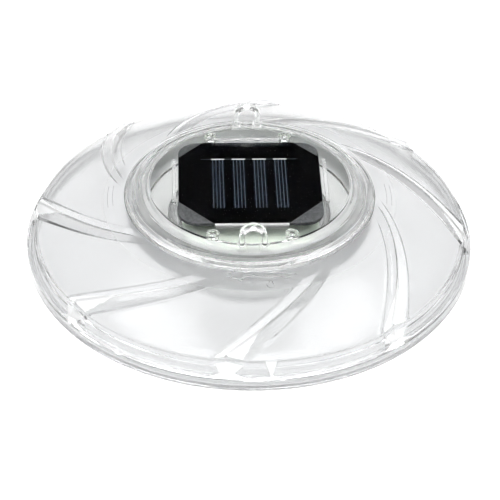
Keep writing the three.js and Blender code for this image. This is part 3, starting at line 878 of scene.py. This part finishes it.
def cover_screws(steel):
    """Countersunk cross-slot screws, put in from under the board."""
    top = BOARD_BOTTOM - 0.3
    screw = [(0, top - 1.4), (1.5, top - 1.4), (2.3, top - 0.6), (2.3, top), (1.1, top), (1.1, 36.4), (0.6, 37.2),
             (0, 37.2)]
    outline = rounded(screw, 0.12, closed=False)
    for i, (x, y) in enumerate(boss_places()):
        made = revolved(f"cover_screw_{i + 1}", outline, steel, 32, at=(x, y, 0))
        slots = []
        for k, (width, depth) in enumerate(((2.4, 0.5), (0.5, 2.4))):
            slots.append(prism(f"slot_{i}_{k}", block_outline(width, depth, (x, y)), top - 2, top - 0.7, steel, 0))
        merge(made, slots, "DIFFERENCE")
        in_module(made, f"board_screw_{i + 1}")


def leds(material):
    """Domed lamps with a flange, hanging from the board."""
    top, radius = BOARD_BOTTOM - 0.3, 2.5
    outline = [(0, top), (2.9, top), (2.9, top - 1), (radius, top - 1.1)]
    outline += [polar(radius, -math.pi / 20 * step, 0, top - 6.1) for step in range(11)]
    for number in range(1, 5):
        node = f"led_{number}"
        made = revolved(f"lamp_{number}", outline, material, 40, at=(*centre_of(node)[:2], 0))
        in_module(made, node)


def driver_chip(materials):
    """A small eight-legged package under the board."""
    x, y, _ = centre_of("controller_chip")
    bottom, top = low("controller_chip")[2], high("controller_chip")[2]
    outline = block_outline(4.9, 2.9, (x, y))
    chip = prism("driver_chip", outline, bottom + 0.05, top - 0.15, materials["black"], 0.14)
    legs = []
    for side in (-1, 1):
        for k in range(4):
            place = x - 1.9 + 3.8 * k / 3
            route = [(1.35, -0.8), (1.62, -0.8), (1.72, -0.72), (1.8, -0.2), (1.88, -0.12), (2.0, -0.1)]
            path = [(place, y + side * out, top + down) for out, down in route]
            legs.append(swept(f"leg_{side}_{k}", path, 0.08, 0.2, materials["tinned"], (1, 0, 0), 0.3, 12))
    join(chip, legs)
    in_module(chip, "controller_chip")


def lowered(outline, top):
    """An outline drawn down from zero, hung from a height."""
    return [(radius, z + top) for radius, z in rounded(outline, 0.1, closed=False)]


def choke(materials):
    """A bobbin with its copper winding."""
    x, y, _ = centre_of("inductor")
    top = high("inductor")[2]
    bobbin = [(0, 0), (3, 0, 0.15), (3, -0.75, 0.15), (2.2, -0.85, 0.1), (2.2, -3.15, 0.1), (3, -3.25, 0.15),
              (3, -4, 0.15), (1.2, -4, 0.1), (1.2, -3.8, 0.1), (0, -3.8)]
    body = revolved("choke", lowered(bobbin, top), materials["black"], 48, at=(x, y, 0))
    winding = [(2.3, top - 0.9)]
    turns, steps = 7, 6
    for i in range(turns):
        for k in range(steps + 1):
            bulge = 0.16 * math.sin(math.pi * k / steps)
            winding.append((2.42 + bulge, top - 0.9 - (i + k / steps) * 2.2 / turns))
    winding.append((2.3, top - 3.1))
    coil = revolved("choke_winding", winding, materials["copper"], 48, closed=True, at=(x, y, 0))
    join(body, [coil])
    in_module(body, "inductor")


def ceramic_resistor(white):
    """A ceramic block with a sunk face."""
    (x0, y0, z0), (x1, y1, z1) = ends("resistor")
    centre = centre_of("resistor")[:2]
    body = prism("ceramic_resistor", block_outline(x1 - x0, y1 - y0, centre), z0, z1, white, 0.3)
    pocket = prism("potting", block_outline(x1 - x0 - 1, y1 - y0 - 0.9, centre), z0 - 0.1, z0 + 0.12, white, 0)
    merge(body, [pocket], "DIFFERENCE")
    in_module(body, "resistor")


def capacitor_can(materials):
    """A sleeved can with a crimp groove and a bare end."""
    x, y, _ = centre_of("storage_capacitor")
    top = high("storage_capacitor")[2]
    can = [(0, 0), (2.3, 0, 0.15), (2.5, -0.35, 0.15), (2.5, -0.7, 0.1), (2.32, -0.9, 0.12), (2.5, -1.1, 0.1),
           (2.5, -4.85, 0.25), (2.1, -5, 0.1), (2.0, -4.88, 0.05), (0, -4.88)]
    made = revolved("capacitor_can", lowered(can, top), materials["black"], 48, at=(x, y, 0))
    repaint(made, materials["tinned"], lambda radius, z, down: z < top - 4.8)
    in_module(made, "storage_capacitor")


def battery_cell(materials):
    """The rechargeable cell on its side, sleeved, with bare ends."""
    (x0, y0, _), (x1, y1, _) = ends("battery_cell")
    half, radius = (x1 - x0) / 2, (y1 - y0) / 2
    cell = [(0, -half), (radius - 0.9, -half, 0.2), (radius - 0.7, -half + 0.15, 0.1), (radius, -half + 0.2, 0.35),
            (radius, half - 1.5, 0.4), (radius - 0.4, half - 1.05, 0.15), (radius - 0.9, half - 1.1, 0.1),
            (1.9, half - 1.1, 0.1), (1.9, half, 0.25), (0, half)]
    made = revolved("rechargeable_cell", rounded(cell, 0.1, closed=False, steps=6), materials["sleeve"], 64)
    repaint(made, materials["tinned"], lambda reach, z, down: abs(z) > half - 1.2 and reach < radius - 0.5)
    tipped(made, 1, centre_of("battery_cell"))
    in_module(made, "battery_cell")


def battery_tray(black):
    """An open tray with two finger notches in each long wall."""
    (x0, y0, z0), (x1, y1, z1) = ends("battery_holder")
    wall = 1.2
    outer = rounded_rectangle(x0, y0, x1, y1, 0.8, 4)
    inner = rounded_rectangle(x0 + wall, y0 + wall, x1 - wall, y1 - wall, 0.4, 4)
    tray = prism("cell_tray", outer, z0, z1, black, 0.25)
    tools = [prism("tray_pocket", inner, z0 - 1, z1 - wall, black, 0)]
    reach, radius = 8, 3.2
    for x in (-9, 9):
        notch = revolved(f"notch_{x}", [(0, -reach), (radius, -reach), (radius, reach), (0, reach)], black, 40)
        tipped(notch, 1, (0, 0, 0))
        notch.data.transform(Matrix.Translation(Vector((x, 0, z0)) * MM) @ Matrix.Rotation(math.pi / 2, 4, "Z"))
        tools.append(notch)
    merge(tray, tools, "DIFFERENCE")
    in_module(tray, "battery_holder")


def contact_plate(tinned):
    """The flat contact, with a pressed dimple, at the tray's end."""
    (_, y0, z0), (_, y1, z1) = ends("battery_plate")
    outline = rounded_rectangle(-(z1 - z0) / 2, -(y1 - y0) / 2, (z1 - z0) / 2, (y1 - y0) / 2, 0.8, 6)
    plate = prism("contact_plate", outline, -0.05, 0.25, tinned, 0.06)
    dimple = [(0, -0.25), (0.9, -0.23), (1.5, -0.05), (1.6, 0.1), (0, 0.1)]
    merge(plate, [revolved("contact_dimple", dimple, tinned, 32)])
    tipped(plate, 1, centre_of("battery_plate"))
    in_module(plate, "battery_plate")


def contact_spring(tinned):
    """A coil spring that narrows toward the cell, after a flat end turn."""
    wire = 0.2
    (x0, y0, _), (x1, y1, _) = ends("battery_spring")
    start, length = x0 + wire, x1 - x0 - 2 * wire
    wide, narrowing = (y1 - y0) / 2 - wire, 1.4
    turns, steps, flat = 3.5, 126, 0.2
    helix = []
    for i in range(steps + 1):
        along = i / steps
        y, z = polar(wide - narrowing * along, math.tau * turns * along, *centre_of("battery_cell")[1:])
        helix.append((start + length * max(0, along - flat) / (1 - flat), y, z))
    in_module(tube("contact_spring", helix, wire, tinned, 12), "battery_spring")


def rubber_button(material):
    """The button: a domed cap, a sealing flange and a stem that enters the switch."""
    top = high("switch_button")[2]
    flange = low("switch_button")[2] + 4.4
    outline = [
        (0, 1.0), (2.8, 0.85, 4), (3.7, 0.6, 0.3), (4.6, 0.6, 0.5), (4.6, flange - 0.8, 0.3), (6.2, flange - 0.8, 0.2),
        (6.2, flange, 0.2), (5.4, flange, 0.1), (5.1, flange - 0.25, 0.2), (4.4, flange - 0.25, 0.2),
        (4.1, flange, 0.1), (1.6, flange, 0.4), (1.2, flange + 0.5, 0.3), (1.2, top, 0.25), (0, top),
    ]
    button = revolved("rubber_button", rounded(outline, closed=False, steps=6), material, 96)
    assign(button, "button", "switch_button")


def button_seal(material):
    """A grooved washer round the button."""
    bottom = low("button_gasket")[2]
    outer, _, top = high("button_gasket")
    ring = [
        (4.9, bottom, 0.15), (outer, bottom, 0.15), (outer, top, 0.2), (6.2, top, 0.1), (6.0, top - 0.15, 0.1),
        (5.7, top - 0.15, 0.1), (5.5, top, 0.1), (4.9, top, 0.2),
    ]
    gasket = revolved("button_seal", rounded(ring, steps=4), material, 96, closed=True)
    in_module(gasket, "button_gasket")


def tact_switch(materials):
    """The switch: a black body, a metal lid and four rivets, bored for the button's stem."""
    black = materials["black"]
    (x0, y0, z0), (x1, y1, z1) = ends("switch_body")
    inset, seam = 0.2, z0 + 0.25
    body = prism("tact_switch", rounded_rectangle(x0, y0, x1, y1, 0.5, 4), seam, z1, black, 0.15)
    outline = rounded_rectangle(x0 + inset, y0 + inset, x1 - inset, y1 - inset, 0.5, 4)
    lid = prism("switch_lid", outline, z0 + 0.02, seam, materials["tinned"], 0.04)
    bore = [(0, z0 - 1), (1.9, z0 - 1), (1.9, 8.8), (0, 8.8)]
    for part, number in ((body, 1), (lid, 2)):
        merge(part, [revolved(f"plunger_bore_{number}", bore, black, 48)], "DIFFERENCE")
    head = [(0, z0), (0.35, z0 + 0.02), (0.5, z0 + 0.12), (0.5, z0 + 0.2), (0, z0 + 0.2)]
    rivets = []
    for x in (x0 + 1.2, x1 - 1.2):
        for y in (y0 + 1.2, y1 - 1.2):
            rivets.append(revolved(f"rivet_{x:.0f}_{y:.0f}", head, black, 24, at=(x, y, 0)))
    join(body, [lid, *rivets])
    in_module(body, "switch_body")


def switch_bridge(white):
    """The bridge that holds the switch over the button."""
    (x0, y0, z0), (x1, y1, z1) = ends("switch_bracket")
    thick = 1.2
    profile = [(x0, z0, 0.3), (x0 + thick, z0, 0.3), (x0 + thick, z1 - thick, 0.5), (x1 - thick, z1 - thick, 0.5),
               (x1 - thick, z0, 0.3), (x1, z0, 0.3), (x1, z1, 1.2), (x0, z1, 1.2)]
    bridge = prism("switch_bridge", rounded(profile, steps=6), y0, y1, white, 0.2)
    bridge.data.transform(Matrix.Rotation(math.pi / 2, 4, "X"))
    in_module(bridge, "switch_bracket")


def wires(materials):
    """Stranded leads in smooth bends from joint to joint, each with its solder."""
    radius = 0.58
    solder = [(0, -0.1), (0.62, -0.08), (0.66, 0.15), (0.5, 0.4), (0.3, 0.5), (0, 0.5)]
    for side, name, finish, slot in ((-1, "minus", "dark", "wire_black"), (1, "plus", "red", "wire_red")):
        x = 6 * side
        end, start = (corner[2] for corner in ends(f"panel_wire_{name}"))
        panel_route = [(x, 18, start), (x, 18, start - 0.8), (x + side, 20, 34), (x, 22, end + 0.8), (x, 22, end)]
        near, far = 2 * side, 4 * side
        start, end = (corner[2] for corner in ends(f"switch_wire_{name}"))
        switch_route = [(near, 0, start), (near, 0, start + 1), (far, 9, 17), (far, 10.5, 24), (far, 10.5, end)]
        for lead, route, up in (("panel", panel_route, -1), ("switch", switch_route, 1)):
            node = f"{lead}_wire_{name}"
            wire = tube(f"{lead}_lead_{name}", curved(route), radius, materials[finish], 20)
            x1, y1, z1 = route[-1]
            joint = [(r, z1 - up * h) for r, h in solder]
            join(wire, [revolved(f"{node}_solder", joint, materials["tinned"], 24, at=(x1, y1, 0))])
            in_module(wire, node)


# ---------- stage ----------
def make_floor():
    """A light table: it glows evenly under the float and falls off further out."""
    material, tree, shader = new_material("pale_floor")
    set_inputs(shader, Base_Color=(0.08, 0.08, 0.08, 1), Roughness=1, Specular_IOR_Level=0)
    place = tree.nodes.new("ShaderNodeTexCoord")
    length = tree.nodes.new("ShaderNodeVectorMath")
    length.operation = "LENGTH"
    glow = add_node(tree, "ShaderNodeMapRange", From_Min=0.28, From_Max=0.7, To_Min=1.25, To_Max=0.35)
    link(place.outputs["Object"], length, 0)
    link(length.outputs["Value"], glow, "Value")
    set_inputs(shader, Emission_Color=(1, 1, 1, 1))
    link(glow.outputs["Result"], shader, "Emission Strength")
    size = 20
    clearance = 0.0003
    corners = [(-size, -size), (size, -size), (size, size), (-size, size)]
    mesh = bpy.data.meshes.new("floor")
    mesh.from_pydata([(x, y, -clearance) for x, y in corners], [], [(0, 1, 2, 3)])
    floor = place_mesh("floor", mesh, material)


def direction(azimuth, elevation):
    azimuth, elevation = math.radians(azimuth), math.radians(elevation)
    return (math.cos(azimuth) * math.cos(elevation), math.sin(azimuth) * math.cos(elevation), math.sin(elevation))


def spot(tree, place, azimuth, elevation, inner, outer, value):
    """A round patch of the studio, soft between its inner and outer angles."""
    dot = tree.nodes.new("ShaderNodeVectorMath")
    dot.operation = "DOT_PRODUCT"
    dot.inputs[1].default_value = direction(azimuth, elevation)
    link(place.outputs["Generated"], dot, 0)
    start, end = math.cos(math.radians(outer)), math.cos(math.radians(inner))
    fade = add_node(tree, "ShaderNodeMapRange", From_Min=start, From_Max=end, To_Max=value)
    fade.interpolation_type = "SMOOTHSTEP"
    link(dot.outputs["Value"], fade, "Value")
    return fade.outputs["Result"]


def maths(tree, operation, first, second):
    node = tree.nodes.new("ShaderNodeMath")
    node.operation = operation
    for socket, value in zip(node.inputs, (first, second)):
        if isinstance(value, (int, float)):
            socket.default_value = value
        else:
            tree.links.new(value, socket)
    return node.outputs["Value"]


def make_world():
    """Soft white studio: one broad glow in front, two small high ones, and a flag that keeps the panel dark."""
    world = bpy.data.worlds.new("studio")
    scene.world = world
    world.use_nodes = True
    tree = world.node_tree
    place = tree.nodes.new("ShaderNodeTexCoord")
    split = tree.nodes.new("ShaderNodeSeparateXYZ")
    ramp = tree.nodes.new("ShaderNodeValToRGB")
    stops = [(0.0, 0.7), (0.15, 0.85), (0.35, 0.6), (0.7, 0.5), (1.0, 0.5)]
    elements = ramp.color_ramp.elements
    while len(elements) < len(stops):
        elements.new(0.5)
    for element, (position, value) in zip(elements, stops):
        element.position = position
        element.color = (value, value, value, 1)
    link(place.outputs["Generated"], split, "Vector")
    link(split.outputs["Z"], ramp, "Fac")
    light = ramp.outputs["Color"]
    glows = [  # azimuth, elevation, inner and outer angle, brightness
        (270, 8, 10, 40, 1.2), (150, 62, 1, 6, 1.6), (35, 60, 1, 6, 1.0),
    ]
    for glow in glows:
        light = maths(tree, "ADD", light, spot(tree, place, *glow))
    flag = spot(tree, place, 90 + VIEW_AZIMUTH, VIEW_ELEVATION, 14, 24, 1.0)
    light = maths(tree, "MULTIPLY", light, maths(tree, "SUBTRACT", 1.0, flag))
    background = set_inputs(tree.nodes["Background"], Color=(1, 1, 1, 1))
    link(light, background, "Strength")


def make_lamps():
    """A ring of round soft lamps high up, kept out of direct mirror reflections."""
    count, elevation, distance = 12, 65, 1.2
    size, energy = 0.54, 2.7
    for i in range(count):
        data = bpy.data.lights.new(f"softbox_{i}", "AREA")
        data.shape = "DISK"
        data.size = size
        data.energy = energy
        lamp = bpy.data.objects.new(f"softbox_{i}", data)
        lamp.location = Vector(direction(360 * i / count, elevation)) * distance
        lamp.rotation_euler = (-lamp.location).to_track_quat("-Z", "Y").to_euler()
        lamp.visible_camera = False
        lamp.visible_glossy = False
        scene.collection.objects.link(lamp)


def render_look():
    """Plain tones, and enough bounces to see through the many clear walls."""
    scene.view_settings.view_transform = "Standard"
    scene.cycles.max_bounces = 32
    scene.cycles.transmission_bounces = 32
    scene.cycles.glossy_bounces = 12
    scene.cycles.transparent_max_bounces = 16
    scene.cycles.diffuse_bounces = 4


make_camera()
materials = make_materials()
upper_shell(materials)
lower_shell(materials)
module_cover(materials)
module_base(materials)
seal_ring("hub_ring", "hub_seal", 46.05, 34.3, 1.4, materials["seal"])
seal_ring("cap_ring", "module_seal", 44.1, 31.5, 1.2, materials["seal"])
solar_panel(materials)
circuit_board(materials)
cover_screws(materials["steel"])
leds(materials["led"])
driver_chip(materials)
choke(materials)
ceramic_resistor(materials["white"])
capacitor_can(materials)
battery_cell(materials)
battery_tray(materials["black"])
contact_plate(materials["tinned"])
contact_spring(materials["tinned"])
rubber_button(materials["button"])
button_seal(materials["seal"])
tact_switch(materials)
switch_bridge(materials["white"])
wires(materials)
make_floor()
make_world()
make_lamps()
render_look()
